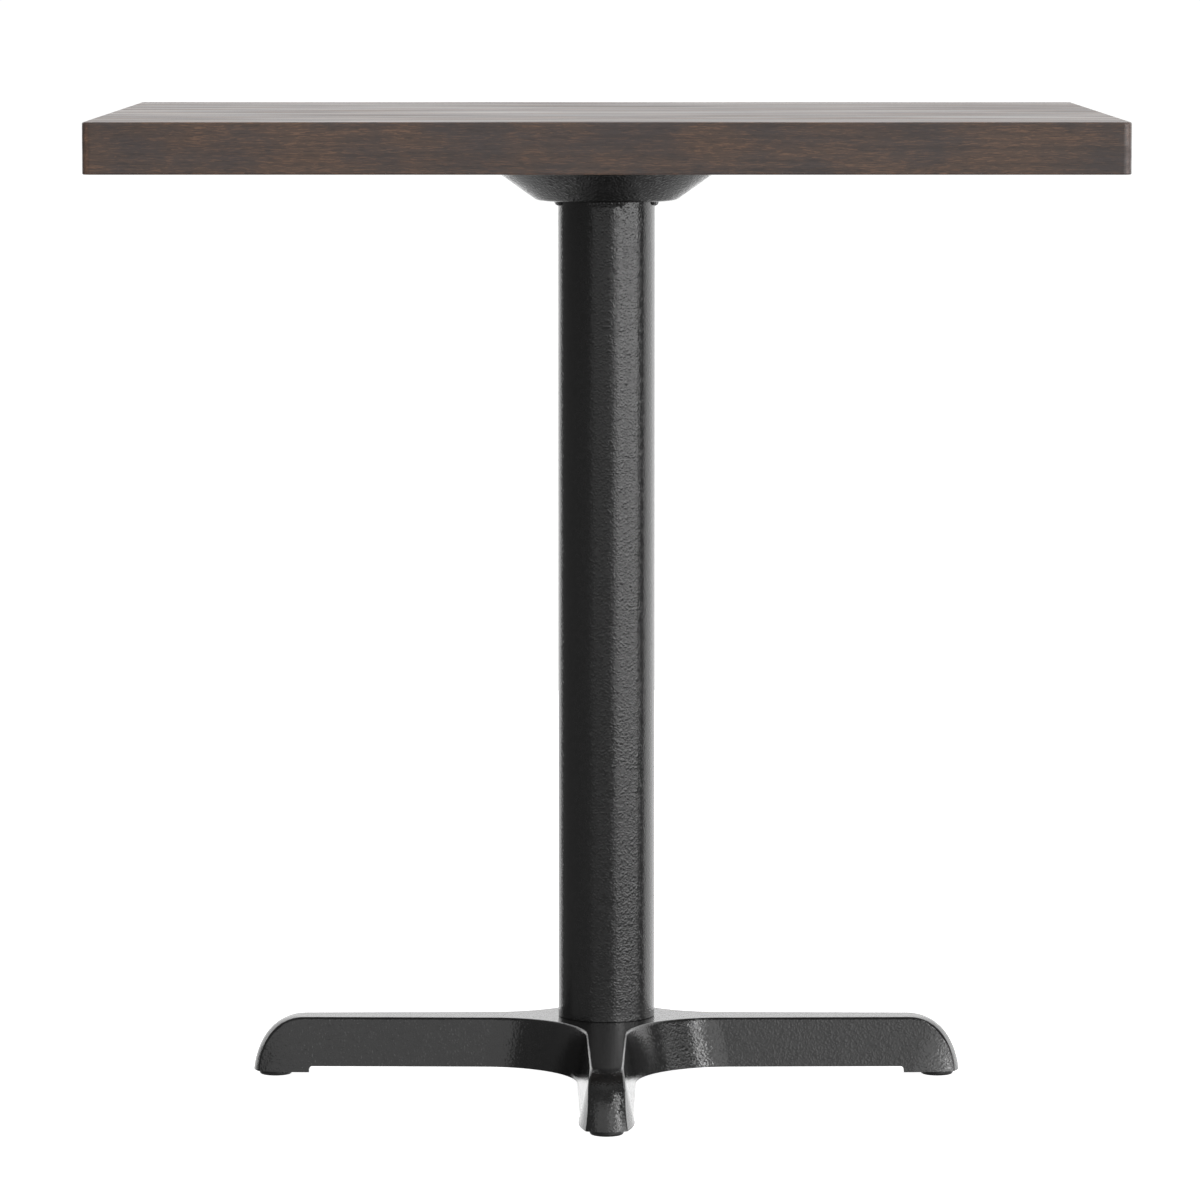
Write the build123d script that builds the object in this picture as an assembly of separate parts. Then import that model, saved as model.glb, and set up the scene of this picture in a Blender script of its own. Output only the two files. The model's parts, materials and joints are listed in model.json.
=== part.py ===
from build123d import *
import math
import os

# Bistro table: a glued hardwood block on a steel column with a cast iron cross base.
# Millimetres, +Z up. The origin is on the floor, in the middle of the table.
# +X runs along the long side of the top, and the front of the table faces -Y.

# ---- Driving dimensions -------------------------------------------------------------------------

# Overall
TABLE_HEIGHT = 752.0
TOP_LENGTH = 762.0
STAVE_COUNT = 16
STAVE_WIDTH = 38.1
TOP_THICKNESS = 38.1
TOP_CORNER_RADIUS = 6.35
TOP_EDGE_RADIUS = 1.5
TOP_LOWER_EDGE_RADIUS = 1.0

# Column
COLUMN_DIAMETER = 75.0
COLUMN_WALL = 2.0
COLUMN_END_CHAMFER = 0.4

# Top pan: a round dish with a flat screw flange
PAN_THICKNESS = 3.0
PAN_DEPTH = 30.2
PAN_FLOOR_RADIUS = 53.8
PAN_RIM_RADIUS = 92.0
PAN_FLANGE_RADIUS = 115.0
PAN_BEND_RADIUS = 9.0
PAN_HOLE_CLEARANCE = 0.15

# Stitch welds between the pan and the column
WELD_COUNT = 4
WELD_LENGTH = 30.0
WELD_LEG = 4.4
WELD_FULLNESS = 0.72

# Wood screws through the pan flange
SCREW_COUNT = 8
SCREW_CIRCLE_RADIUS = 105.0
SCREW_LENGTH = 30.0
SCREW_DIAMETER = 4.8
SCREW_POINT = 5.0
SCREW_HEAD_DIAMETER = 9.5
SCREW_HEAD_HEIGHT = 3.2
SCREW_HEAD_RADIUS = 2.2
SCREW_RECESS_WIDTH = 1.3
SCREW_RECESS_SPAN = 5.2
SCREW_RECESS_DEPTH = 1.6
SCREW_HOLE_DIAMETER = 5.3
PILOT_HOLE_EXTRA = 1.0

# Base casting
BASE_TOP = 46.5
BASE_EDGE = 9.1
FOOT_FACE = 4.4
LEG_REACH = 276.2
LEG_TAPER = 0.018
LEG_HALF_WIDTH_BELOW = 25.4
LEG_HALF_WIDTH_ABOVE = 16.9
CROTCH_RADIUS = 75.0
TOE_SHOULDER = 258.0
TOE_SHOULDER_RADIUS = 120.0
TOE_REACH = 282.0
TOE_HALF_WIDTH_BELOW = 12.0
TOE_HALF_WIDTH_ABOVE = 9.9
BASE_ROUNDING = 2.5
NOSE_START = 238.0
NOSE_START_PULL = 30.5
NOSE_END_PULL = 10.5
NOSE_END_ANGLE = 83.5
NOSE_CROWN_RADIUS = 28.0
NOSE_BLOCK_WIDTH = 48.0
NOSE_BLOCK_START = 120.0
NOSE_BLOCK_SECTIONS = 5
FOOT_LENGTH = 44.0
FOOT_STEP_RADIUS = 2.5
CASTING_WALL = 6.0
CASTING_ROOF = 7.0
HUB_BOSS_RADIUS = 26.0
HUB_BOSS_DEPTH = 16.5
SPIGOT_CLEARANCE = 0.2
SPIGOT_HEIGHT = 6.0

# Centre bolt, washers and the threaded plug in the foot of the column
BOLT_DIAMETER = 12.0
BOLT_LENGTH = 45.0
BOLT_HEAD_ACROSS_FLATS = 18.0
BOLT_HEAD_HEIGHT = 7.5
BOLT_HOLE_DIAMETER = 13.0
BOLT_CORNER_CUT_DIAMETER = 20.5
BOLT_CORNER_CUT_HEIGHT = 0.8
BOLT_CORNER_CUT_WIDTH = 1.6
FLAT_WASHER_DIAMETER = 36.0
FLAT_WASHER_THICKNESS = 2.5
SPRING_WASHER_DIAMETER = 21.0
SPRING_WASHER_THICKNESS = 2.5
SPRING_WASHER_SPLIT = 1.5
SPRING_WASHER_SPLIT_TILT = 30.0
PLUG_THICKNESS = 12.0
PLUG_GAP_ABOVE_SPIGOT = 2.0
PLUG_CLEARANCE = 0.05

# Levelling glides
GLIDE_RADIUS_FROM_CENTRE = 259.0
GLIDE_DIAMETER = 25.4
GLIDE_HEIGHT = 4.1
GLIDE_EDGE_RADIUS = 1.8
GLIDE_UPPER_EDGE_RADIUS = 0.4
STUD_DIAMETER = 8.0
STUD_LENGTH = 20.0
STUD_HEAD_DIAMETER = 14.0
STUD_HEAD_THICKNESS = 1.5
STUD_HEAD_FLOOR = 1.3
STUD_HOLE_EXTRA = 2.0
GLIDE_TRAVEL = 8.0
RUNNING_CLEARANCE = 0.05
AXIAL_CLEARANCE = 0.15

# Machined ends
END_CHAMFER = 1.0

# ---- Worked-out sizes ---------------------------------------------------------------------------

TOP_WIDTH = STAVE_COUNT * STAVE_WIDTH
TOP_UNDERSIDE = TABLE_HEIGHT - TOP_THICKNESS
FLANGE_UNDERSIDE = TOP_UNDERSIDE - PAN_THICKNESS
PAN_FLOOR = TOP_UNDERSIDE - PAN_DEPTH
COLUMN_RADIUS = COLUMN_DIAMETER / 2
COLUMN_BORE_RADIUS = COLUMN_RADIUS - COLUMN_WALL
COLUMN_TOP = PAN_FLOOR + PAN_THICKNESS + 2 * COLUMN_WALL
SPIGOT_TOP = BASE_TOP + SPIGOT_HEIGHT
PLUG_BOTTOM = SPIGOT_TOP + PLUG_GAP_ABOVE_SPIGOT
HUB_BOSS_FACE = BASE_TOP - HUB_BOSS_DEPTH
SPRING_WASHER_TOP = HUB_BOSS_FACE - FLAT_WASHER_THICKNESS
BOLT_HEAD_TOP = SPRING_WASHER_TOP - SPRING_WASHER_THICKNESS
STUD_TOP = GLIDE_HEIGHT + STUD_LENGTH
# A cutting shape passes its target by OVERSHOOT, and joined shapes reach OVERLAP into each other.
OVERSHOOT = 5.0
OVERLAP = 1.0
# Corners nearer than this to a wanted distance are taken to be at it.
SAME_PLACE = 0.01

GLIDE_SIDES = {"right": 0, "back": 90, "left": 180, "front": 270}


# ---- Helpers ------------------------------------------------------------------------------------

def disc(radius, bottom, top):
    """A solid cylinder on the Z axis between two heights."""
    body = Cylinder(radius, top - bottom, align=(Align.CENTER, Align.CENTER, Align.MIN))
    return Pos(0, 0, bottom) * body


def revolved(points):
    """A solid turned about the Z axis from a closed (radius, height) outline."""
    outline = Plane.XZ * make_face(Polyline(*points, close=True))
    return revolve(outline, Axis.Z)


def edges_between(shape, low, high):
    """Edges whose middle lies between two heights."""
    return [edge for edge in shape.edges() if low <= edge.position_at(0.5).Z <= high]


# ---- Top ----------------------------------------------------------------------------------------

def screw_places():
    """Where the flange screws stand, between the main axes."""
    return [Rot(0, 0, 360 * (i + 0.5) / SCREW_COUNT) * Pos(SCREW_CIRCLE_RADIUS, 0, 0)
            for i in range(SCREW_COUNT)]


def top_block():
    """The whole glued block, with eased edges and the pilot holes of the flange screws."""
    block = Pos(0, 0, TOP_UNDERSIDE) * Box(
        TOP_LENGTH, TOP_WIDTH, TOP_THICKNESS, align=(Align.CENTER, Align.CENTER, Align.MIN))
    block = fillet(block.edges().filter_by(Axis.Z), TOP_CORNER_RADIUS)
    block = fillet(block.edges().group_by(Axis.Z)[-1], TOP_EDGE_RADIUS)
    block = fillet(block.edges().group_by(Axis.Z)[0], TOP_LOWER_EDGE_RADIUS)
    pilot = disc(SCREW_DIAMETER / 2 + RUNNING_CLEARANCE, TOP_UNDERSIDE - OVERSHOOT,
                 FLANGE_UNDERSIDE + SCREW_LENGTH + PILOT_HOLE_EXTRA)
    for place in screw_places():
        block -= place * pilot
    return block


def staves():
    """The block cut along its glue lines, front stave first."""
    block = top_block()
    pieces = {}
    for i in range(STAVE_COUNT):
        middle = (i + 0.5) * STAVE_WIDTH - TOP_WIDTH / 2
        slab = Pos(0, middle, TABLE_HEIGHT - TOP_THICKNESS / 2) * Box(
            TOP_LENGTH + OVERSHOOT, STAVE_WIDTH, TOP_THICKNESS + OVERSHOOT)
        pieces[f"top_stave_{i + 1:02d}"] = block & slab
    return pieces


# ---- Pan, screws, column and welds --------------------------------------------------------------

def top_pan():
    """Pressed dish: flat floor round the column, cone, and a flat flange with screw holes."""
    slope = math.atan2(FLANGE_UNDERSIDE - PAN_FLOOR, PAN_RIM_RADIUS - PAN_FLOOR_RADIUS)
    inset = PAN_THICKNESS * math.tan(slope / 2)
    hole = COLUMN_RADIUS + PAN_HOLE_CLEARANCE
    below = [(hole, PAN_FLOOR), (PAN_FLOOR_RADIUS, PAN_FLOOR),
             (PAN_RIM_RADIUS, FLANGE_UNDERSIDE), (PAN_FLANGE_RADIUS, FLANGE_UNDERSIDE)]
    above = [(PAN_FLANGE_RADIUS, TOP_UNDERSIDE), (PAN_RIM_RADIUS - inset, TOP_UNDERSIDE),
             (PAN_FLOOR_RADIUS - inset, PAN_FLOOR + PAN_THICKNESS), (hole, PAN_FLOOR + PAN_THICKNESS)]
    section = make_face(Polyline(*below, *above, close=True))
    rounding = {below[1]: PAN_BEND_RADIUS, below[2]: PAN_BEND_RADIUS - PAN_THICKNESS,
                above[1]: PAN_BEND_RADIUS, above[2]: PAN_BEND_RADIUS - PAN_THICKNESS}
    for corner, radius in rounding.items():
        near = section.vertices().sort_by_distance(Vector(*corner, 0))[0]
        section = fillet(near, radius)
    rim = [v for v in section.vertices() if v.X > PAN_FLANGE_RADIUS - 1]
    section = fillet(rim, PAN_THICKNESS / 3)
    pan = revolve(Plane.XZ * section, Axis.Z)
    screw_hole = disc(SCREW_HOLE_DIAMETER / 2, FLANGE_UNDERSIDE - OVERSHOOT, TOP_UNDERSIDE + OVERSHOOT)
    for place in screw_places():
        pan -= place * screw_hole
    return pan


def flange_screw():
    """Pan-head wood screw, pointing up, with a cross recess in its head."""
    tip = FLANGE_UNDERSIDE + SCREW_LENGTH
    radius = SCREW_DIAMETER / 2
    neck = FLANGE_UNDERSIDE - OVERLAP
    shank = revolved([(0, neck), (radius, neck), (radius, tip - SCREW_POINT), (0, tip)])
    head = disc(SCREW_HEAD_DIAMETER / 2, FLANGE_UNDERSIDE - SCREW_HEAD_HEIGHT, FLANGE_UNDERSIDE)
    head = fillet(head.edges().group_by(Axis.Z)[0], SCREW_HEAD_RADIUS)
    floor = Pos(0, 0, FLANGE_UNDERSIDE - SCREW_HEAD_HEIGHT)
    slot = Box(SCREW_RECESS_SPAN, SCREW_RECESS_WIDTH, 2 * SCREW_RECESS_DEPTH)
    return head + shank - floor * slot - floor * Rot(0, 0, 90) * slot


def flange_screws():
    """All flange screws as one group of separate solids."""
    screw = flange_screw()
    return Compound(children=[place * screw for place in screw_places()])


def column():
    """Round steel tube from the hub to just inside the pan."""
    tube = disc(COLUMN_RADIUS, BASE_TOP, COLUMN_TOP)
    tube = chamfer(tube.edges().filter_by(GeomType.CIRCLE), COLUMN_END_CHAMFER)
    return tube - disc(COLUMN_BORE_RADIUS, BASE_TOP - OVERSHOOT, COLUMN_TOP + OVERSHOOT)


def weld_bead():
    """One stitch weld in the corner under the pan, on the +X side, with rounded ends."""
    sweep_angle = math.degrees(WELD_LENGTH / COLUMN_RADIUS)
    wall = COLUMN_RADIUS + RUNNING_CLEARANCE
    roof = PAN_FLOOR - RUNNING_CLEARANCE
    bulge = WELD_LEG * WELD_FULLNESS
    section = make_face(
        Line((wall, roof), (wall + WELD_LEG, roof))
        + ThreePointArc((wall + WELD_LEG, roof), (wall + bulge, roof - bulge), (wall, roof - WELD_LEG))
        + Line((wall, roof - WELD_LEG), (wall, roof)))
    bead = revolve(Plane.XZ * section, Axis.Z, revolution_arc=sweep_angle)
    return Rot(0, 0, -sweep_angle / 2) * bead


def weld_beads():
    """The stitch welds round the column as one group of separate solids."""
    bead = weld_bead()
    return Compound(children=[Rot(0, 0, 360 * i / WELD_COUNT) * bead for i in range(WELD_COUNT)])


# ---- Base ---------------------------------------------------------------------------------------

def cross_outline(half_width, crotch_radius, leg_end):
    """A four-legged outline. half_width is a leg's, extended to the centre of the cross. leg_end
    lists the (distance, half width, radius) corners of a leg beyond its straight taper."""
    crotch = half_width / (1 + LEG_TAPER)
    far_side = [(x, -y) for x, y, radius in leg_end]
    near_side = [(x, y) for x, y, radius in reversed(leg_end)]
    places = [Rot(0, 0, 90 * i) * Pos(x, y) for i in range(4)
              for x, y in [(crotch, -crotch), *far_side, *near_side]]
    outline = make_face(Polyline(*[place.position for place in places], close=True))
    for distance, _, radius in [(crotch, crotch, crotch_radius), *leg_end]:
        corners = [v for v in outline.vertices() if abs(max(abs(v.X), abs(v.Y)) - distance) < SAME_PLACE]
        if radius > 0:
            outline = fillet(corners, radius)
    return outline


def nose_block():
    """A block with the side view of a leg's nose: level at first, then ever steeper. Across the leg
    its face falls back on both sides, as a parabola with NOSE_CROWN_RADIUS in the middle."""
    end_angle = math.radians(NOSE_END_ANGLE)
    first_pull = (NOSE_START + NOSE_START_PULL, BASE_TOP)
    last_pull = (LEG_REACH - NOSE_END_PULL * math.cos(end_angle),
                 FOOT_FACE + NOSE_END_PULL * math.sin(end_angle))
    rim = Bezier((NOSE_START, BASE_TOP), first_pull, last_pull, (LEG_REACH, FOOT_FACE))
    side_view = Plane.XZ * make_face(
        Polyline(rim @ 1, (NOSE_BLOCK_START, FOOT_FACE), (NOSE_BLOCK_START, BASE_TOP), rim @ 0) + rim)
    sections = []
    for i in range(NOSE_BLOCK_SECTIONS):
        across = NOSE_BLOCK_WIDTH * (i / (NOSE_BLOCK_SECTIONS - 1) - 0.5)
        sections.append(Pos(-across ** 2 / (2 * NOSE_CROWN_RADIUS), across, 0) * side_view)
    return loft(sections)


def base_shell():
    """The outside of the casting: a drafted cross with crowned noses and eased upper edges."""
    outlines = []
    for height, half_width, toe in ((FOOT_FACE, LEG_HALF_WIDTH_BELOW, TOE_HALF_WIDTH_BELOW),
                                    (BASE_TOP, LEG_HALF_WIDTH_ABOVE, TOE_HALF_WIDTH_ABOVE)):
        shoulder = (TOE_SHOULDER, half_width - LEG_TAPER * TOE_SHOULDER, TOE_SHOULDER_RADIUS)
        outline = cross_outline(half_width, CROTCH_RADIUS, [shoulder, (TOE_REACH, toe, 0)])
        outlines.append((Pos(0, 0, height) * outline).face())
    middle_width = 2 * (NOSE_BLOCK_START + OVERSHOOT)
    kept = Pos(0, 0, FOOT_FACE) * Box(
        middle_width, middle_width, BASE_TOP - FOOT_FACE, align=(Align.CENTER, Align.CENTER, Align.MIN))
    nose = nose_block()
    for angle in GLIDE_SIDES.values():
        kept += Rot(0, 0, angle) * nose
    shell = loft(outlines, ruled=True) & kept
    return fillet(edges_between(shell, FOOT_FACE + OVERLAP, BASE_TOP), BASE_ROUNDING)


def base_hollow():
    """The space cast into the underside, between the hub and the feet."""
    reach = LEG_REACH - FOOT_LENGTH - CASTING_WALL / 2
    outlines = []
    for height in (FOOT_FACE, BASE_TOP - CASTING_ROOF):
        rise = (height - FOOT_FACE) / (BASE_TOP - FOOT_FACE)
        outside = LEG_HALF_WIDTH_BELOW + rise * (LEG_HALF_WIDTH_ABOVE - LEG_HALF_WIDTH_BELOW)
        inside = outside - CASTING_WALL
        end = (reach, inside - LEG_TAPER * reach, CASTING_WALL)
        outline = cross_outline(inside, CROTCH_RADIUS + CASTING_WALL, [end])
        outlines.append((Pos(0, 0, height) * outline).face())
    return loft(outlines, ruled=True)


def base_casting():
    """Hollow-backed cast iron cross with a hub boss, a spigot for the column and four feet."""
    casting = base_shell()
    step = 2 * (LEG_REACH - FOOT_LENGTH)
    relief = Pos(0, 0, BASE_EDGE) * Box(
        step, step, 2 * OVERSHOOT, align=(Align.CENTER, Align.CENTER, Align.MAX))
    relief = fillet(relief.edges().group_by(Axis.Z)[-1], FOOT_STEP_RADIUS)
    casting -= relief
    casting -= base_hollow()
    casting += disc(HUB_BOSS_RADIUS, HUB_BOSS_FACE, BASE_TOP - OVERLAP)
    spigot = disc(COLUMN_BORE_RADIUS - SPIGOT_CLEARANCE, BASE_TOP - OVERLAP, SPIGOT_TOP)
    casting += chamfer(spigot.edges().group_by(Axis.Z)[-1], END_CHAMFER)
    casting -= disc(BOLT_HOLE_DIAMETER / 2, 0, SPIGOT_TOP + OVERSHOOT)
    tapped_hole = disc(STUD_DIAMETER / 2 + RUNNING_CLEARANCE, 0, STUD_TOP + STUD_HOLE_EXTRA)
    for angle in GLIDE_SIDES.values():
        casting -= Rot(0, 0, angle) * Pos(GLIDE_RADIUS_FROM_CENTRE, 0, 0) * tapped_hole
    return casting


# ---- Centre bolt --------------------------------------------------------------------------------

def column_plug():
    """Threaded disc welded inside the foot of the column."""
    plug = disc(COLUMN_BORE_RADIUS - PLUG_CLEARANCE, PLUG_BOTTOM, PLUG_BOTTOM + PLUG_THICKNESS)
    plug = chamfer(plug.edges().filter_by(GeomType.CIRCLE), END_CHAMFER)
    return plug - disc(BOLT_DIAMETER / 2 + RUNNING_CLEARANCE, 0, TABLE_HEIGHT)


def base_bolt():
    """Hex bolt, head down, up through the hub and into the plug."""
    head = extrude(RegularPolygon(BOLT_HEAD_ACROSS_FLATS / 2, 6, major_radius=False), BOLT_HEAD_HEIGHT)
    head = Pos(0, 0, BOLT_HEAD_TOP - BOLT_HEAD_HEIGHT) * head
    corner_cut = disc(BOLT_CORNER_CUT_DIAMETER / 2, BOLT_HEAD_TOP - BOLT_HEAD_HEIGHT, BOLT_HEAD_TOP)
    lower_edge = corner_cut.edges().group_by(Axis.Z)[0]
    head &= chamfer(lower_edge, BOLT_CORNER_CUT_HEIGHT, BOLT_CORNER_CUT_WIDTH)
    shank = disc(BOLT_DIAMETER / 2, BOLT_HEAD_TOP - OVERLAP, BOLT_HEAD_TOP + BOLT_LENGTH)
    return head + chamfer(shank.edges().group_by(Axis.Z)[-1], END_CHAMFER)


def flat_washer():
    """Wide flat washer against the hub boss."""
    washer = disc(FLAT_WASHER_DIAMETER / 2, SPRING_WASHER_TOP, HUB_BOSS_FACE)
    return washer - disc(BOLT_HOLE_DIAMETER / 2, 0, TABLE_HEIGHT)


def spring_washer():
    """Split spring washer, pressed flat, above the bolt's head."""
    washer = disc(SPRING_WASHER_DIAMETER / 2, BOLT_HEAD_TOP, SPRING_WASHER_TOP)
    washer -= disc(BOLT_HOLE_DIAMETER / 2, 0, TABLE_HEIGHT)
    split = Rot(0, SPRING_WASHER_SPLIT_TILT, 0) * Box(
        SPRING_WASHER_SPLIT, SPRING_WASHER_DIAMETER, TOP_THICKNESS)
    return washer - Pos(0, SPRING_WASHER_DIAMETER / 2, (BOLT_HEAD_TOP + SPRING_WASHER_TOP) / 2) * split


# ---- Levelling glides ---------------------------------------------------------------------------

def glide_pad():
    """Moulded pad with a rounded lower edge and an inner socket for the stud's head."""
    pad = disc(GLIDE_DIAMETER / 2, 0, GLIDE_HEIGHT)
    pad = fillet(pad.edges().group_by(Axis.Z)[0], GLIDE_EDGE_RADIUS)
    pad = fillet(pad.edges().group_by(Axis.Z)[-1], GLIDE_UPPER_EDGE_RADIUS)
    socket = disc(STUD_HEAD_DIAMETER / 2 + RUNNING_CLEARANCE, STUD_HEAD_FLOOR - AXIAL_CLEARANCE,
                  STUD_HEAD_FLOOR + STUD_HEAD_THICKNESS + AXIAL_CLEARANCE)
    neck = disc(STUD_DIAMETER / 2 + RUNNING_CLEARANCE, STUD_HEAD_FLOOR, GLIDE_HEIGHT + OVERSHOOT)
    return pad - socket - neck


def glide_stud():
    """Threaded stud with a flat round head that turns inside the pad."""
    head = disc(STUD_HEAD_DIAMETER / 2, STUD_HEAD_FLOOR, STUD_HEAD_FLOOR + STUD_HEAD_THICKNESS)
    shank = disc(STUD_DIAMETER / 2, STUD_HEAD_FLOOR, STUD_TOP)
    return head + chamfer(shank.edges().group_by(Axis.Z)[-1], END_CHAMFER)


def glides():
    """A pad and a stud under each leg."""
    pad = glide_pad()
    stud = glide_stud()
    pieces = {}
    for side, angle in GLIDE_SIDES.items():
        place = Rot(0, 0, angle) * Pos(GLIDE_RADIUS_FROM_CENTRE, 0, 0)
        pieces[f"glide_pad_{side}"] = place * pad
        pieces[f"glide_stud_{side}"] = place * stud
    return pieces


# ---- Assembly -----------------------------------------------------------------------------------

def main():
    pieces = staves()
    pieces["top_pan"] = top_pan()
    pieces["flange_screws"] = flange_screws()
    pieces["column_tube"] = column()
    pieces["weld_beads"] = weld_beads()
    pieces["base_casting"] = base_casting()
    pieces["column_plug"] = column_plug()
    pieces["base_bolt"] = base_bolt()
    pieces["flat_washer"] = flat_washer()
    pieces["spring_washer"] = spring_washer()
    pieces.update(glides())
    os.makedirs("parts", exist_ok=True)
    for name, piece in pieces.items():
        export_step(piece, f"parts/{name}.step")
    print(len(pieces), "nodes written; each glide travels", GLIDE_TRAVEL, "mm")


main()
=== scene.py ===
import json
import math

import bpy
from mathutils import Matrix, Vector, noise


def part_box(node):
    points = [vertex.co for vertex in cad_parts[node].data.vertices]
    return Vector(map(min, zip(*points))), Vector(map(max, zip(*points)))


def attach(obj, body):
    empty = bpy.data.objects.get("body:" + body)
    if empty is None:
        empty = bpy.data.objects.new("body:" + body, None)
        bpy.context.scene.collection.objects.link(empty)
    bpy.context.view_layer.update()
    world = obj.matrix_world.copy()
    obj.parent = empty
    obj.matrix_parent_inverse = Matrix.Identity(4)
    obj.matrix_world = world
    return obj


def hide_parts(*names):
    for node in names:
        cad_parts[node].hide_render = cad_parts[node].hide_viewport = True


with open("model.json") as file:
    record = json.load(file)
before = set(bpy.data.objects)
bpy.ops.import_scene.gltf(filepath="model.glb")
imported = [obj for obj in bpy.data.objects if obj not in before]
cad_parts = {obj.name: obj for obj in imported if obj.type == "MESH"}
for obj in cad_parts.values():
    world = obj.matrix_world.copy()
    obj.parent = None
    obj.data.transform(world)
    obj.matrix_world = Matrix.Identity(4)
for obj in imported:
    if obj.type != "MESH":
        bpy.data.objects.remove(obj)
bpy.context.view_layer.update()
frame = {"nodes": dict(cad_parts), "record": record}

# Bistro table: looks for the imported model. Metres, +Z up, the front of the table faces -Y.

# ---- Driving sizes and tones --------------------------------------------------------------------

# Camera: in front of the table, a little above the top, with a long lens
CAMERA_DISTANCE = 4.944
CAMERA_HEIGHT = 0.877
CAMERA_SIDE = -0.005
AIM_HEIGHT = 0.3729
LENS_MM = 191.6
SENSOR_MM = 36.0

# Studio
FLOOR_RADIUS = 2.6
FLOOR_SIDES = 96
FLOOR_TONE = 0.8
FLOOR_GLOW = 1.0
BACKDROP_GLOW = 1.3
STUDIO_AMBIENT = 0.28
PANEL_SIDE_SOFTNESS = 5
# Light panels round the table, in degrees: bearing from and to (0 is the camera's side, positive
# the table's right), height from and to, softness of the upper and lower ends, and brightness
STUDIO_PANELS = (
    (-200, -138, -18, 45, 18, 1.45),    # white backdrop, left and middle
    (150, 200, -18, 45, 18, 1.45),      # white backdrop, middle and right
    (103, 150, -18, 45, 18, 2.2),       # brighter right end of the backdrop
    (-35, 20, -2.2, 40, 16, 1.15),      # pale wall behind the camera
    (7, 36, 5, 40, 6, 1.7),             # brighter right end of that wall
    (19.5, 83, -6.2, 5, 8, 5.8),        # large softbox, lower part
    (40, 83, 5, 15, 7, 2.8),            # large softbox, upper part
    (33, 37, 6, 55, 8, 22.0),           # bright edge of the softbox
    (-400, 400, 68, 120, 16, 0.35),     # dim ceiling
    (-200, -60, -50, -22, 5, 0.45),     # white floor at the left
    (60, 200, -50, -22, 5, 0.45),       # white floor at the right
    (-400, 400, -120, -62, 6, 0.30))    # shaded floor under the table

# Wood
COOL_WOOD = (0.096, 0.072, 0.067)
WARM_WOOD = (0.152, 0.093, 0.065)
PALE_FIBRE = (0.295, 0.160, 0.098)
DARK_FIBRE = (0.054, 0.040, 0.036)
GLUE_LINE_WIDTH = 0.0006
RING_SPACING = 0.0042
RING_WANDER = 0.030
FIBRE_CURL = 0.0016
GRAIN_RELIEF = 0.00006

# Black finishes: the coat's orange peel has this cell and depth on each kind of metal, over slow
# waves of the metal itself
COAT_BLACK = (0.014, 0.014, 0.014)
COAT_ROUGHNESS = 0.13
TUBE_PEEL = {"cell": 0.0023, "depth": 0.00038, "wave_depth": 0.00006}
CASTING_PEEL = {"cell": 0.0026, "depth": 0.00038, "wave_depth": 0.00010}
PAN_PEEL = {"cell": 0.0030, "depth": 0.0010, "wave_depth": 0.00006}
NYLON_BLACK = (0.012, 0.012, 0.012)
ZINC = (0.60, 0.61, 0.62)

# Weld beads
WELD_COUNT = 4
WELD_LENGTH = 0.030
WELD_RIPPLES = 11
WELD_FLATNESS = 0.72      # width under the pan over height on the column
WELD_FIT = 0.97           # share of the CAD weld's width that a bead may fill
WELD_ROWS = 150
WELD_ARC_POINTS = 11

# Glide studs
STUD_HEAD_THICKNESS = 0.0015
STUD_HEAD_CHAMFER = 0.0003
STUD_SIDES = 36
THREAD_PITCH = 0.00125
THREAD_DEPTH = 0.00077
THREAD_CREST_RADIUS = 0.00397
THREAD_RUN_IN = 0.001
THREAD_POINT = 0.0012
THREAD_POINT_HEIGHT = 0.15
ROWS_PER_PITCH = 10

GLIDE_SIDES = ("right", "back", "left", "front")


# ---- Shader helpers -----------------------------------------------------------------------------

class Shader:
    """Builds a node tree a node at a time. Values go in plain, and sockets are linked."""

    def __init__(self, tree):
        self.tree = tree
        self.tree.nodes.clear()

    def add(self, kind, inputs=None, **settings):
        node = self.tree.nodes.new("ShaderNode" + kind)
        for name, value in settings.items():
            setattr(node, name, value)
        for name, value in (inputs or {}).items():
            self.feed(node.inputs[name], value)
        return node

    def feed(self, socket, value):
        if isinstance(value, bpy.types.NodeSocket):
            self.tree.links.new(value, socket)
        else:
            socket.default_value = value

    def math(self, operation, *values):
        return self.add("Math", dict(enumerate(values)), operation=operation).outputs[0]

    def vector(self, operation, *values):
        return self.add("VectorMath", dict(enumerate(values)), operation=operation).outputs[0]

    def noise(self, place, stretch, detail=2.0, roughness=0.5):
        """Noise whose features are about 1/stretch metres long on each axis."""
        scaled = self.vector("MULTIPLY", place, stretch)
        node = self.add("TexNoise", {"Vector": scaled, "Scale": 1.0, "Detail": detail,
                                     "Roughness": roughness})
        return node.outputs["Fac"]

    def steps(self, value, low, high, to_low=0.0, to_high=1.0):
        """A smooth change from to_low to to_high as the value goes from low to high."""
        if high < low:
            low, high, to_low, to_high = high, low, to_high, to_low
        node = self.add("MapRange", {"Value": value, "From Min": low, "From Max": high,
                                     "To Min": to_low, "To Max": to_high},
                        interpolation_type="SMOOTHSTEP")
        return node.outputs["Result"]

    def blend(self, amount, first, second, mode="MIX"):
        node = self.add("Mix", {}, data_type="RGBA", blend_type=mode)
        colours = [s for s in node.inputs if s.type == "RGBA"]
        self.feed(node.inputs["Factor"], amount)
        self.feed(colours[0], opaque(first))
        self.feed(colours[1], opaque(second))
        return [s for s in node.outputs if s.type == "RGBA"][0]

    def bump(self, height, distance, strength=1.0, below=None):
        inputs = {"Height": height, "Distance": distance, "Strength": strength}
        if below is not None:
            inputs["Normal"] = below
        return self.add("Bump", inputs).outputs["Normal"]


def opaque(colour):
    """A colour with its alpha, or a socket as it is."""
    if isinstance(colour, bpy.types.NodeSocket):
        return colour
    return (*colour, 1.0)


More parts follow.
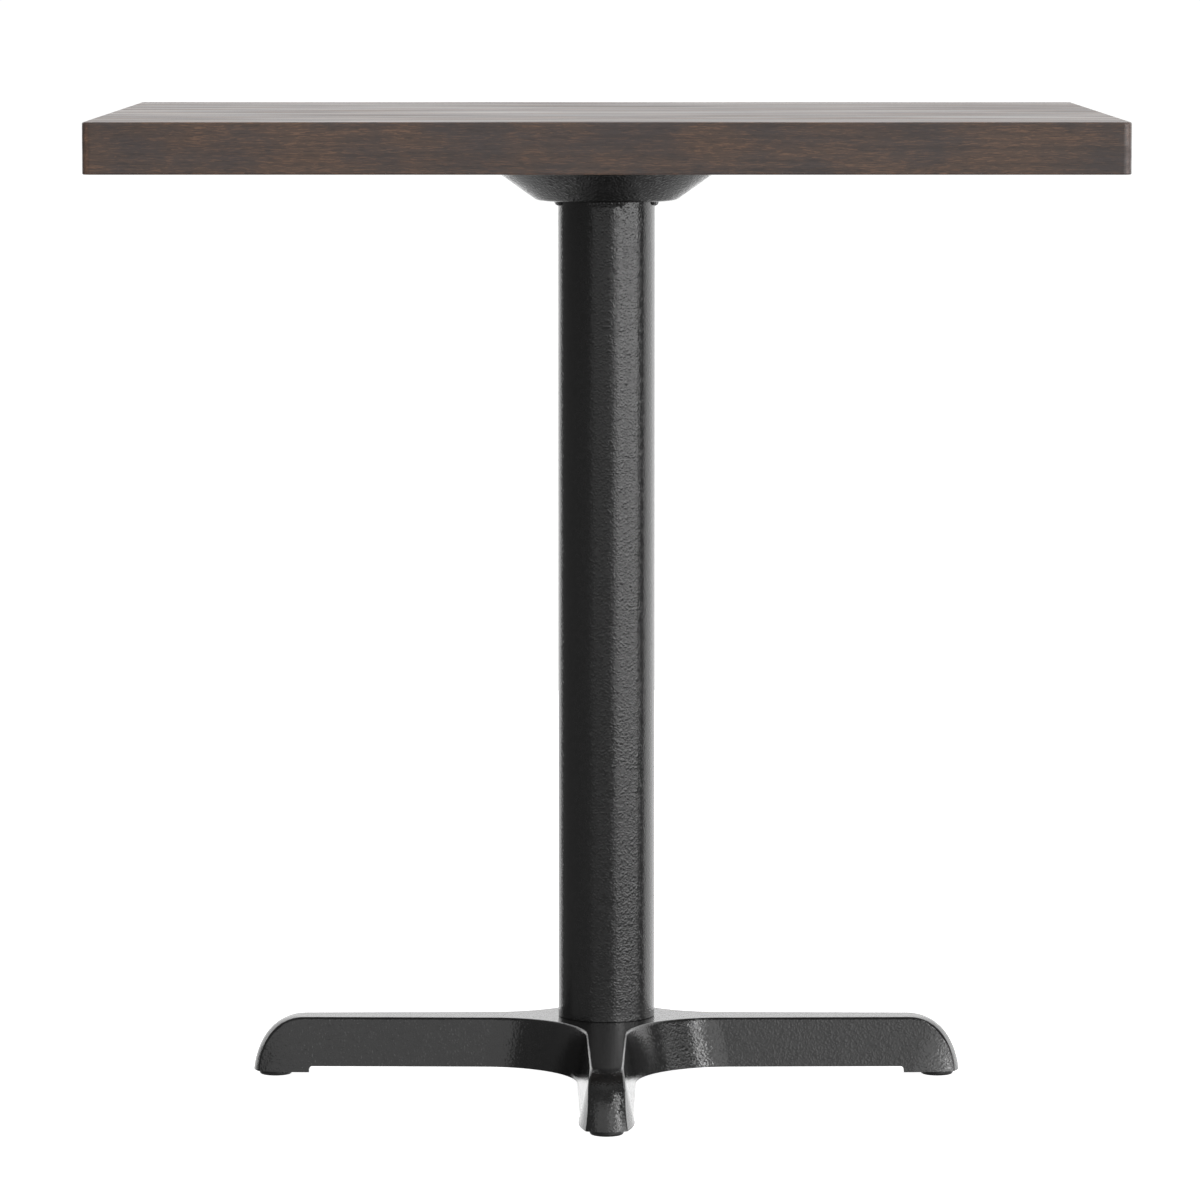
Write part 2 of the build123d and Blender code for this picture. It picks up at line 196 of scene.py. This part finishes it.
def new_material(name):
    """An empty material, its shader builder and its Principled surface."""
    material = bpy.data.materials.new(name)
    material.use_nodes = True
    shader = Shader(material.node_tree)
    surface = shader.add("BsdfPrincipled")
    output = shader.add("OutputMaterial")
    shader.feed(output.inputs["Surface"], surface.outputs["BSDF"])
    place = shader.add("TexCoord").outputs["Object"]
    return material, shader, surface, place


# ---- Wood ---------------------------------------------------------------------------------------

def stained_wood():
    """Dark stained maple: every stave is cut from its own log, with fine fibres along X."""
    material, shader, surface, place = new_material("stained_wood")
    low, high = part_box("top_stave_01")
    width = high[1] - low[1]
    axes = shader.add("SeparateXYZ", {"Vector": place})
    across = shader.math("DIVIDE", shader.math("SUBTRACT", axes.outputs["Y"], low[1]), width)
    stave = shader.math("FLOOR", across)
    lot = shader.add("TexWhiteNoise", {"W": stave}, noise_dimensions="1D")
    own_log = shader.vector("MULTIPLY", lot.outputs["Color"], (40.0, 3.0, 3.0))
    grain = shader.vector("ADD", place, own_log)

    middle = shader.math("MULTIPLY", shader.math("ADD", stave, 0.5), width)
    home = shader.add("CombineXYZ", {"Y": shader.math("ADD", middle, low[1]),
                                     "Z": (low[2] + high[2]) / 2})
    from_middle = shader.vector("SUBTRACT", place, home.outputs[0])
    late_wood = growth_rings(shader, from_middle, grain, lot)
    fibres = wavy_noise(shader, grain, (80.0, 1000.0, 1000.0), 3.0, 0.6)
    flecks = wavy_noise(shader, grain, (120.0, 1400.0, 1400.0), 2.0, 0.6)
    streaks = shader.noise(grain, (7.0, 240.0, 240.0), 2.0, 0.5)
    pores = shader.noise(grain, (160.0, 2600.0, 2600.0), 1.0, 0.5)
    colour = stain_colour(shader, grain, late_wood, fibres, flecks, streaks, pores)
    shade = stave_shade(shader, lot.outputs["Value"], across, GLUE_LINE_WIDTH / width)
    shader.feed(surface.inputs["Base Color"], shader.blend(1.0, colour, shade, "MULTIPLY"))

    bands = shader.noise(grain, (5.0, 75.0, 75.0), 1.0)
    sheen = shader.math("ADD", shader.math("MULTIPLY", streaks, 0.4), shader.math("MULTIPLY", bands, 0.6))
    shader.feed(surface.inputs["Roughness"], shader.steps(sheen, 0.38, 0.62, 0.52, 0.31))
    relief = shader.math("ADD", shader.math("MULTIPLY", fibres, 0.8), shader.math("MULTIPLY", pores, 0.5))
    shader.feed(surface.inputs["Normal"], shader.bump(relief, GRAIN_RELIEF))
    return material


def growth_rings(shader, from_middle, grain, lot):
    """Late wood, 0 to 1: rings round a pith that lies off to one side of the stave and wanders."""
    pith = shader.vector("MULTIPLY_ADD", lot.outputs["Color"], (0.0, 0.24, 0.10), (0.0, -0.12, 0.03))
    wander = shader.noise(grain, (2.2, 9.0, 9.0), 2.0)
    radial = shader.add("SeparateXYZ", {"Vector": shader.vector("ADD", from_middle, pith)})
    radius = shader.math("SQRT", shader.math(
        "ADD", shader.math("POWER", radial.outputs["Y"], 2.0),
        shader.math("POWER", radial.outputs["Z"], 2.0)))
    warped = shader.math("MULTIPLY_ADD", wander, RING_WANDER, radius)
    rings = shader.math("SINE", shader.math("MULTIPLY", warped, 2 * math.pi / RING_SPACING))
    return shader.steps(rings, 0.1, 1.0)


def wavy_noise(shader, grain, stretch, detail, roughness):
    """Noise drawn out along the stave that curls a little sideways."""
    curl = shader.math("MULTIPLY", shader.noise(grain, (60.0, 40.0, 40.0), 1.0), FIBRE_CURL)
    sideways = shader.add("CombineXYZ", {"Y": curl, "Z": curl})
    return shader.noise(shader.vector("ADD", grain, sideways.outputs[0]), stretch, detail, roughness)


def stain_colour(shader, grain, late_wood, fibres, flecks, streaks, pores):
    """Stain taken in warm and cool patches, darker in fibres and pores and paler in flecks."""
    patches = shader.noise(grain, (16.0, 30.0, 30.0), 3.0, 0.55)
    warmth = shader.steps(patches, 0.35, 0.65)
    colour = shader.blend(warmth, COOL_WOOD, WARM_WOOD)
    colour = shader.blend(shader.steps(fibres, 0.50, 0.26, 0.0, 0.75), colour, DARK_FIBRE)
    fleck_strength = shader.math("MULTIPLY_ADD", warmth, 0.5, 0.28)
    shown_flecks = shader.math("MULTIPLY", shader.steps(flecks, 0.52, 0.64), fleck_strength)
    colour = shader.blend(shown_flecks, colour, PALE_FIBRE)
    colour = shader.blend(shader.steps(streaks, 0.56, 0.34, 0.0, 0.35), colour, DARK_FIBRE)
    colour = shader.blend(shader.math("MULTIPLY", late_wood, 0.20), colour, DARK_FIBRE)
    return shader.blend(shader.steps(pores, 0.66, 0.76, 0.0, 0.5), colour, DARK_FIBRE)


def stave_shade(shader, lottery, across, glue_line):
    """Grey that gives a stave its own tone, darkens end grain and draws a fine line at each joint."""
    tone = shader.math("MULTIPLY_ADD", lottery, 0.34, 0.83)
    facing = shader.add("SeparateXYZ", {"Vector": shader.add("TexCoord").outputs["Normal"]})
    end_grain = shader.steps(shader.math("ABSOLUTE", facing.outputs["X"]), 0.5, 0.95, 1.0, 0.66)
    from_joint = shader.math("ABSOLUTE", shader.math(
        "SUBTRACT", shader.math("FRACT", shader.math("ADD", across, 0.5)), 0.5))
    glue = shader.steps(from_joint, 0.0, glue_line, 0.55, 1.0)
    shade = shader.math("MULTIPLY", shader.math("MULTIPLY", tone, end_grain), glue)
    grey = shader.add("CombineColor", {"Red": shade, "Green": shade, "Blue": shade})
    return grey.outputs[0]


# ---- Metals and plastic -------------------------------------------------------------------------

def powder_coat(name, metal):
    """Black textured powder coat: an even orange peel over the slower waves of the metal."""
    material, shader, surface, place = new_material(name)
    lumps = shader.noise(place, (1 / metal["cell"],) * 3, 1.0, 0.4)
    peel = shader.math("ABSOLUTE", shader.math("SUBTRACT", lumps, 0.5))
    grain = shader.noise(place, (4.3 / metal["cell"],) * 3, 1.0, 0.5)
    waves = shader.noise(place, (45.0,) * 3, 2.0, 0.5)
    dust = shader.noise(place, (260.0,) * 3, 3.0, 0.6)
    dark = [0.85 * c for c in COAT_BLACK]
    light = [1.15 * c for c in COAT_BLACK]
    shader.feed(surface.inputs["Base Color"], shader.blend(shader.steps(dust, 0.3, 0.7), dark, light))
    shader.feed(surface.inputs["Roughness"],
                shader.steps(dust, 0.3, 0.7, COAT_ROUGHNESS - 0.02, COAT_ROUGHNESS + 0.02))
    slow = shader.bump(waves, metal["wave_depth"])
    peeled = shader.bump(peel, metal["depth"], 1.0, slow)
    shader.feed(surface.inputs["Normal"], shader.bump(grain, 0.00001, 1.0, peeled))
    return material


def zinc_plate():
    """Bright zinc with a faint cloudy passivation."""
    material, shader, surface, place = new_material("zinc_plated_steel")
    cloud = shader.noise(place, (140.0,) * 3, 4.0, 0.6)
    scratch = shader.noise(place, (900.0, 900.0, 2600.0), 2.0, 0.5)
    dull = [0.72 * c for c in ZINC]
    surface.inputs["Metallic"].default_value = 1.0
    shader.feed(surface.inputs["Base Color"], shader.blend(shader.steps(cloud, 0.3, 0.7), dull, ZINC))
    shader.feed(surface.inputs["Roughness"], shader.steps(cloud, 0.3, 0.7, 0.46, 0.28))
    shader.feed(surface.inputs["Normal"], shader.bump(scratch, 0.00002))
    return material


def moulded_nylon():
    """Black nylon with the fine matt grain of its mould."""
    material, shader, surface, place = new_material("black_nylon")
    grain = shader.noise(place, (1600.0,) * 3, 2.0, 0.5)
    scuff = shader.noise(place, (120.0,) * 3, 4.0, 0.65)
    worn = [1.9 * c for c in NYLON_BLACK]
    shader.feed(surface.inputs["Base Color"],
                shader.blend(shader.steps(scuff, 0.45, 0.75), NYLON_BLACK, worn))
    shader.feed(surface.inputs["Roughness"], shader.steps(scuff, 0.3, 0.7, 0.42, 0.58))
    shader.feed(surface.inputs["Normal"], shader.bump(grain, 0.00004))
    return material


def dress(piece, material):
    """Gives a piece one material all over."""
    piece.data.materials.clear()
    piece.data.materials.append(material)


def dress_cad_nodes(materials):
    """Every CAD node takes the material of its slot."""
    for part in frame["record"]["subparts"]:
        dress(frame["nodes"][part["node"]], materials[part["material_slot"]])


# ---- Pieces made of mesh ------------------------------------------------------------------------

def smooth_piece(name, points, faces, material):
    """A smooth-shaded mesh piece in the scene."""
    mesh = bpy.data.meshes.new(name)
    mesh.from_pydata(points, [], faces)
    mesh.validate()
    mesh.polygons.foreach_set("use_smooth", [True] * len(mesh.polygons))
    piece = bpy.data.objects.new(name, mesh)
    bpy.context.scene.collection.objects.link(piece)
    dress(piece, material)
    return piece


def tube_faces(first, rows, around):
    """Quads over a grid of rows of points that close round, with a cap at each end."""
    faces = []
    for row in range(rows - 1):
        for i in range(around):
            a = first + row * around + i
            b = first + row * around + (i + 1) % around
            faces.append((a, b, b + around, a + around))
    faces.append(tuple(first + i for i in reversed(range(around))))
    faces.append(tuple(first + (rows - 1) * around + i for i in range(around)))
    return faces


def weld_beads(material):
    """Four stick-weld stitches in the corner between column and pan, rippled and uneven."""
    column_low, column_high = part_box("column_tube")
    wall = (column_high[0] - column_low[0]) / 2
    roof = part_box("top_pan")[0][2]
    leg = (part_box("weld_beads")[1][0] - wall) * WELD_FIT
    span = WELD_LENGTH / wall
    points, faces = [], []
    for stitch in range(WELD_COUNT):
        first = len(points)
        middle = 2 * math.pi * stitch / WELD_COUNT
        for row in range(WELD_ROWS):
            along = row / (WELD_ROWS - 1)
            turn = middle + (along - 0.5) * span
            taper = max(0.0, 1 - abs(2 * along - 1) ** 5) ** 0.5
            sway = noise.noise((along * 5, stitch * 7.3, 0.5))
            size = leg * (0.22 + 0.74 * taper) * (1 + 0.14 * sway)
            for out, down in corner_section(size, along, stitch):
                radius = wall + out
                points.append((radius * math.cos(turn), radius * math.sin(turn), roof - down))
        faces += tube_faces(first, WELD_ROWS, WELD_ARC_POINTS + 1)
    piece = smooth_piece("rippled_weld_beads", points, faces, material)
    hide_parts("weld_beads")
    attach(piece, "table")


def corner_section(size, along, stitch):
    """One cut across a bead: the corner itself, then the bulged face from the pan to the column."""
    section = [(0.0, 0.0)]
    for i in range(WELD_ARC_POINTS):
        angle = math.pi / 2 * i / (WELD_ARC_POINTS - 1)
        middle = math.sin(2 * angle)
        chevron = along * WELD_RIPPLES - 0.35 * middle + 0.2 * noise.noise((along * 9, stitch, 2.0))
        ripple = abs(math.sin(math.pi * chevron)) ** 0.7
        lump = noise.noise((along * 16, stitch * 3.1, angle * 2))
        groove = 0.38 * (1 - ripple) * (0.3 + 0.7 * middle)
        swell = 1 + 0.10 * middle - groove + 0.40 * lump * middle
        reach = size * min(1.0, 0.98 * swell)
        section.append((WELD_FLATNESS * reach * math.cos(angle), reach * math.sin(angle)))
    return section


def threaded_stud(side, material):
    """A glide's stud: flat head in the pad's socket, then a rolled M8 thread with a blunt tip."""
    low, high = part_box(f"glide_stud_{side}")
    centre = (low + high) / 2
    neck = low[2] + STUD_HEAD_THICKNESS
    head = (high[0] - low[0]) / 2
    rounded = head - STUD_HEAD_CHAMFER
    rings = [(low[2], rounded), (low[2] + STUD_HEAD_CHAMFER, head),
             (neck - STUD_HEAD_CHAMFER, head), (neck, rounded)]
    length = high[2] - neck
    rows = int(length / THREAD_PITCH * ROWS_PER_PITCH)
    rings += [(neck + length * i / rows, None) for i in range(rows + 1)]
    points = []
    for z, radius in rings:
        for i in range(STUD_SIDES):
            share = i / STUD_SIDES
            turn = 2 * math.pi * share
            r = radius or thread_radius(z - neck, high[2] - z, share)
            points.append((centre[0] + r * math.cos(turn), centre[1] + r * math.sin(turn), z))
    piece = smooth_piece(f"threaded_stud_{side}", points, tube_faces(0, len(rings), STUD_SIDES), material)
    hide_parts(f"glide_stud_{side}")
    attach(piece, f"{side}_stud")


def thread_radius(from_neck, from_tip, share):
    """Radius of a thread that fades in at the neck and tapers to the tip, at a share of a turn."""
    phase = (from_neck / THREAD_PITCH - share) % 1.0
    height = 0.5 - 0.5 * math.cos(2 * math.pi * phase)
    fade = min(1.0, from_neck / THREAD_RUN_IN, from_tip / THREAD_POINT + THREAD_POINT_HEIGHT)
    return THREAD_CREST_RADIUS - THREAD_DEPTH * (1 - fade * height)


# ---- Studio -------------------------------------------------------------------------------------

def make_camera():
    """The photographer's place: in front of the table, a little above the top, with a long lens."""
    data = bpy.data.cameras.new("camera")
    data.lens = LENS_MM
    data.sensor_width = SENSOR_MM
    data.clip_end = 100
    camera = bpy.data.objects.new("camera", data)
    bpy.context.scene.collection.objects.link(camera)
    camera.location = (CAMERA_SIDE, -CAMERA_DISTANCE, CAMERA_HEIGHT)
    aim = Vector((CAMERA_SIDE, 0, AIM_HEIGHT))
    camera.rotation_euler = (aim - camera.location).to_track_quat("-Z", "Y").to_euler()
    bpy.context.scene.camera = camera


def make_floor():
    """A round pale floor that opens for a camera below it."""
    turns = [2 * math.pi * i / FLOOR_SIDES for i in range(FLOOR_SIDES)]
    points = [(FLOOR_RADIUS * math.cos(turn), FLOOR_RADIUS * math.sin(turn), 0.0) for turn in turns]
    mesh = bpy.data.meshes.new("floor")
    mesh.from_pydata(points, [], [tuple(range(FLOOR_SIDES))])
    floor = bpy.data.objects.new("floor", mesh)
    bpy.context.scene.collection.objects.link(floor)
    material = bpy.data.materials.new("pale_floor")
    material.use_nodes = True
    shader = Shader(material.node_tree)
    seen = shader.add("LightPath").outputs["Is Camera Ray"]
    pale = shader.add("BsdfDiffuse", {"Color": opaque((FLOOR_TONE,) * 3)})
    glow = shader.add("Emission", {"Strength": shader.math("MULTIPLY", seen, FLOOR_GLOW)})
    lit = shader.add("AddShader", {0: pale.outputs[0], 1: glow.outputs[0]})
    clear = shader.add("BsdfTransparent")
    below = shader.add("NewGeometry").outputs["Backfacing"]
    side = shader.add("MixShader", {0: below, 1: lit.outputs[0], 2: clear.outputs[0]})
    shader.add("OutputMaterial", {"Surface": side.outputs[0]})
    floor.data.materials.append(material)
    floor.visible_glossy = False
    floor.visible_diffuse = False


def panel_light(shader, bearing, height, panel):
    """The light of one soft-edged panel in a direction, given in degrees."""
    left, right, bottom, top, softness, brightness = panel
    side = PANEL_SIDE_SOFTNESS / 2
    end = softness / 2
    edges = (shader.steps(bearing, left - side, left + side),
             shader.steps(bearing, right + side, right - side),
             shader.steps(height, bottom - end, bottom + end),
             shader.steps(height, top + end, top - end))
    light = brightness
    for edge in edges:
        light = shader.math("MULTIPLY", light, edge)
    return light


def make_studio():
    """White backdrop to the camera; for light and reflections, a ring of soft panels."""
    world = bpy.data.worlds.new("studio")
    bpy.context.scene.world = world
    world.use_nodes = True
    shader = Shader(world.node_tree)
    way = shader.add("SeparateXYZ", {"Vector": shader.add("TexCoord").outputs["Generated"]})
    front = shader.math("MULTIPLY", way.outputs["Y"], -1.0)
    bearing = shader.math("DEGREES", shader.math("ARCTAN2", way.outputs["X"], front))
    height = shader.math("DEGREES", shader.math("ARCSINE", way.outputs["Z"]))
    light = STUDIO_AMBIENT
    for panel in STUDIO_PANELS:
        light = shader.math("ADD", light, panel_light(shader, bearing, height, panel))
    seen = shader.add("LightPath").outputs["Is Camera Ray"]
    lit = shader.add("Background", {"Strength": light})
    white = shader.add("Background", {"Strength": BACKDROP_GLOW})
    both = shader.add("MixShader", {0: seen, 1: lit.outputs[0], 2: white.outputs[0]})
    shader.add("OutputWorld", {"Surface": both.outputs[0]})
    bpy.context.scene.view_settings.view_transform = "Standard"


# ---- Scene --------------------------------------------------------------------------------------

def main():
    make_camera()
    make_studio()
    make_floor()
    materials = {
        "stained_wood": stained_wood(),
        "black_powder_coat": powder_coat("black_powder_coat", TUBE_PEEL),
        "black_cast_iron": powder_coat("black_cast_iron", CASTING_PEEL),
        "zinc_plated_steel": zinc_plate(),
        "black_nylon": moulded_nylon()}
    dress_cad_nodes(materials)
    dress(frame["nodes"]["top_pan"], powder_coat("heavy_powder_coat", PAN_PEEL))
    weld_beads(materials["black_powder_coat"])
    for side in GLIDE_SIDES:
        threaded_stud(side, materials["zinc_plated_steel"])


main()
